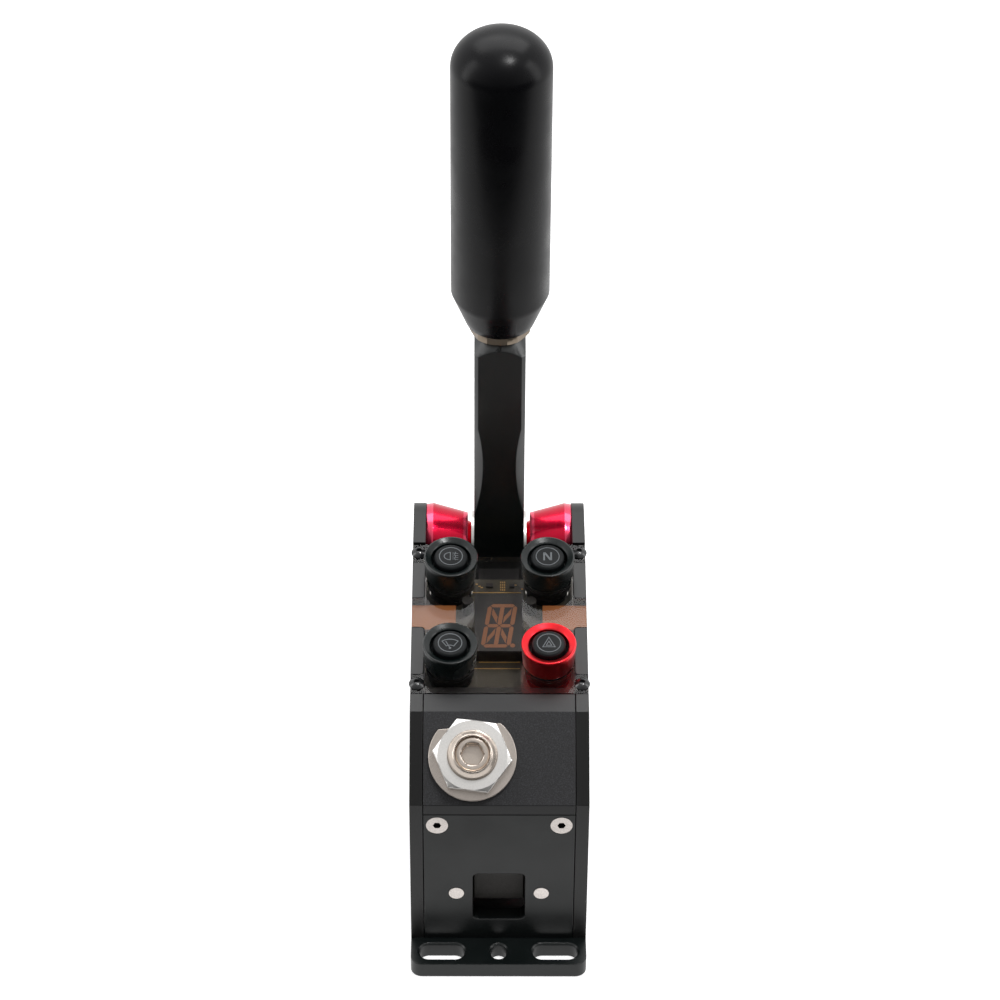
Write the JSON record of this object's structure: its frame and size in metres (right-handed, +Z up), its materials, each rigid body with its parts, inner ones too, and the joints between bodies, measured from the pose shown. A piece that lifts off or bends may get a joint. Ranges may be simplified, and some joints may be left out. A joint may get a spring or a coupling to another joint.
{
  "type": "sim racing gear shifter",
  "caption": "Sequential gear shifter for a driving simulator: a sprung lever with a long round grip, a sloping button panel with a display, and a slotted base.",
  "frame": {"origin": "centre of the overall box in plan, on the base's underside", "axes": "+Z up along the lever, -Y towards the driver, +X to the driver's right"},
  "size_m": [0.063, 0.16, 0.306],
  "materials": {
    "black_anodised": "satin black anodised",
    "satin_black": "satin black",
    "red_anodised": "glossy red anodised",
    "steel": "satin",
    "warm_steel": "satin",
    "spring_steel": "drawn wire",
    "black_steel": "black oxide",
    "smoke_clear": "smoke-tinted clear",
    "light_guide": "frosted",
    "circuit_board": "solder mask",
    "display_face": "dark face",
    "black_plastic": "matte",
    "cap_plastic": "matte",
    "grey_plastic": "matte",
    "grip_black": "satin"
  },
  "bodies": {
    "chassis": {"base_plate": "black_anodised", "side_plate_left": "black_anodised", "side_plate_right": "black_anodised", "front_plate": "satin_black", "rear_plate": "satin_black", "nose_block": "satin_black", "front_screws": "steel", "front_studs": "steel", "side_screws": "black_steel", "base_screws": "black_steel", "top_cover": "smoke_clear", "cover_screws": "black_steel", "light_guide_left": "light_guide", "light_guide_right": "light_guide", "display_board": "circuit_board", "display_module": "display_face", "board_spacers": "steel", "bezel_fog": "black_anodised", "bezel_neutral": "black_anodised", "bezel_wiper": "black_anodised", "bezel_hazard": "red_anodised", "bezel_nuts": "steel", "button_switches": "black_plastic", "pivot_axle": "steel", "axle_screws": "black_steel", "pivot_cone_left": "red_anodised", "pivot_cone_right": "red_anodised", "thrust_washers": "steel", "adjuster_barrel": "steel", "adjuster_washer": "warm_steel", "adjuster_nut": "steel", "preload_spring": "spring_steel", "return_seat": "satin_black", "return_spring": "spring_steel", "controller_board": "circuit_board", "data_socket": "grey_plastic", "sensor_post": "satin_black", "sensor_board": "circuit_board"},
    "lever": {"lever_bar": "black_anodised", "lever_bearings": "steel", "rocker_arm": "satin_black", "rocker_screws": "steel", "sensor_magnet": "steel", "grip_stud": "steel", "lock_nut": "warm_steel", "grip": "grip_black"},
    "plunger": {"plunger": "steel"},
    "spring_cap": {"spring_cap": "steel"},
    "preload_screw": {"preload_screw": "steel"},
    "cap_fog": {"cap_fog": "cap_plastic"},
    "cap_neutral": {"cap_neutral": "cap_plastic"},
    "cap_wiper": {"cap_wiper": "cap_plastic"},
    "cap_hazard": {"cap_hazard": "cap_plastic"}
  },
  "joints": [
    {"name": "lever_tilt", "type": "hinge", "parent": "chassis", "child": "lever", "pos_m": [0, 0.053, 0.0895], "axis": [1, 0, 0], "range_deg": [-7, 7], "stiffness_Nm_per_rad": 40, "deforming": ["return_spring"]},
    {"name": "plunger_slide", "type": "slide", "parent": "chassis", "child": "plunger", "axis": [0, 0.6428, -0.766], "range_m": [-0.0107, 0.0107], "deforming": ["preload_spring"]},
    {"name": "preload_advance", "type": "slide", "parent": "chassis", "child": "spring_cap", "axis": [0, 0.6428, -0.766], "range_m": [0, 0.004]},
    {"name": "preload_turn", "type": "hinge", "parent": "spring_cap", "child": "preload_screw", "pos_m": [-0.0093, -0.05436, 0.08161], "axis": [0, 0.6428, -0.766], "range_deg": [0, 823]},
    {"name": "press_fog", "type": "slide", "parent": "chassis", "child": "cap_fog", "axis": [0, 0.1392, -0.9903], "range_m": [0, 0.0012], "stiffness_N_per_m": 1200},
    {"name": "press_neutral", "type": "slide", "parent": "chassis", "child": "cap_neutral", "axis": [0, 0.1392, -0.9903], "range_m": [0, 0.0012], "stiffness_N_per_m": 1200},
    {"name": "press_wiper", "type": "slide", "parent": "chassis", "child": "cap_wiper", "axis": [0, 0.1392, -0.9903], "range_m": [0, 0.0012], "stiffness_N_per_m": 1200},
    {"name": "press_hazard", "type": "slide", "parent": "chassis", "child": "cap_hazard", "axis": [0, 0.1392, -0.9903], "range_m": [0, 0.0012], "stiffness_N_per_m": 1200}
  ],
  "couplings": [
    {"joint": "plunger_slide", "follows": "lever_tilt", "m_per_rad": 0.087317},
    {"joint": "preload_turn", "follows": "preload_advance", "rad_per_m": 3590.4}
  ]
}
